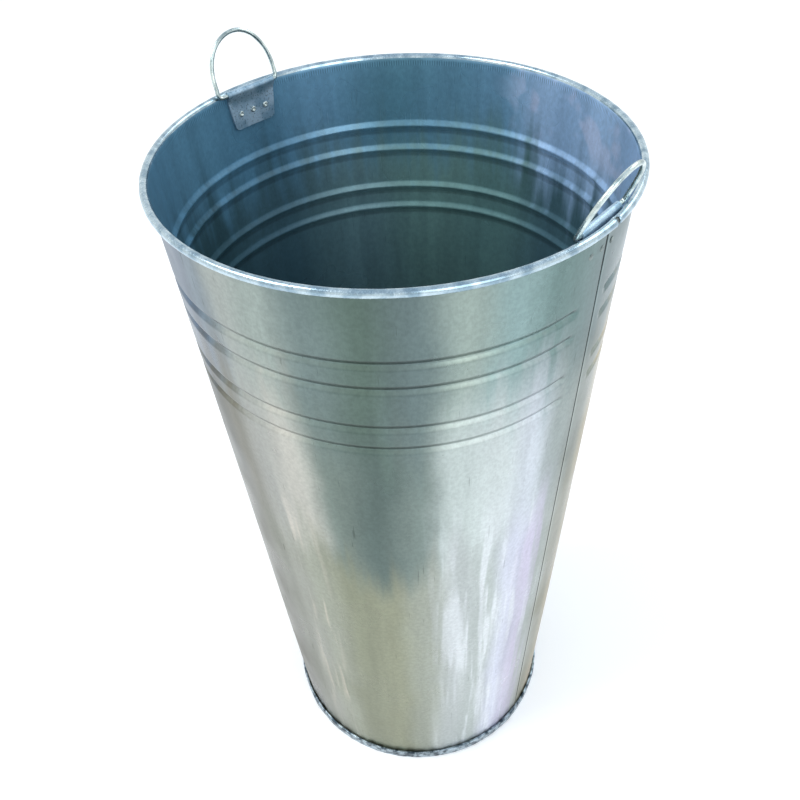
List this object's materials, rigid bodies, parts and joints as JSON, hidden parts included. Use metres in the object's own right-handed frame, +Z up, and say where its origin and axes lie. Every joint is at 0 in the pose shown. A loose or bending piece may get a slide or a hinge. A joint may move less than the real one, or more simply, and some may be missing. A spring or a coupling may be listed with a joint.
{
  "type": "florist bucket",
  "caption": "Tall tapered sheet-metal florist bucket with a rolled rim, pressed beads, a folded base and two hinged wire drop rings.",
  "frame": {"origin": "centre of the base seam's bottom face, on the ground", "axes": "+Z up along the bucket's axis, +X towards the side seam and the right-hand ring, +Y completes the frame"},
  "size_m": [0.2811, 0.2734, 0.5329],
  "materials": {
    "galvanised_sheet": "satin",
    "galvanised_fittings": "satin",
    "plated_wire": "bright",
    "sealing_compound": "matte"
  },
  "bodies": {
    "bucket": {"body_shell": "galvanised_sheet", "base_disc": "galvanised_sheet", "left_clip": "galvanised_fittings", "right_clip": "galvanised_fittings", "left_clip_rivets": "galvanised_fittings", "right_clip_rivets": "galvanised_fittings", "rim_wire": "plated_wire", "base_seam_seal": "sealing_compound", "side_seam_seal": "sealing_compound"},
    "left_ring": {"left_ring": "plated_wire"},
    "right_ring": {"right_ring": "plated_wire"}
  },
  "joints": [
    {"name": "left_ring_swing", "type": "hinge", "parent": "bucket", "child": "left_ring", "pos_m": [-0.12794, 0.01232, 0.4986], "axis": [-0.0958, -0.9954, 0], "range_deg": [-187.5, 15]},
    {"name": "right_ring_swing", "type": "hinge", "parent": "bucket", "child": "right_ring", "pos_m": [0.12853, 0, 0.4986], "axis": [0, 1, 0], "range_deg": [-197.5, 15]}
  ]
}
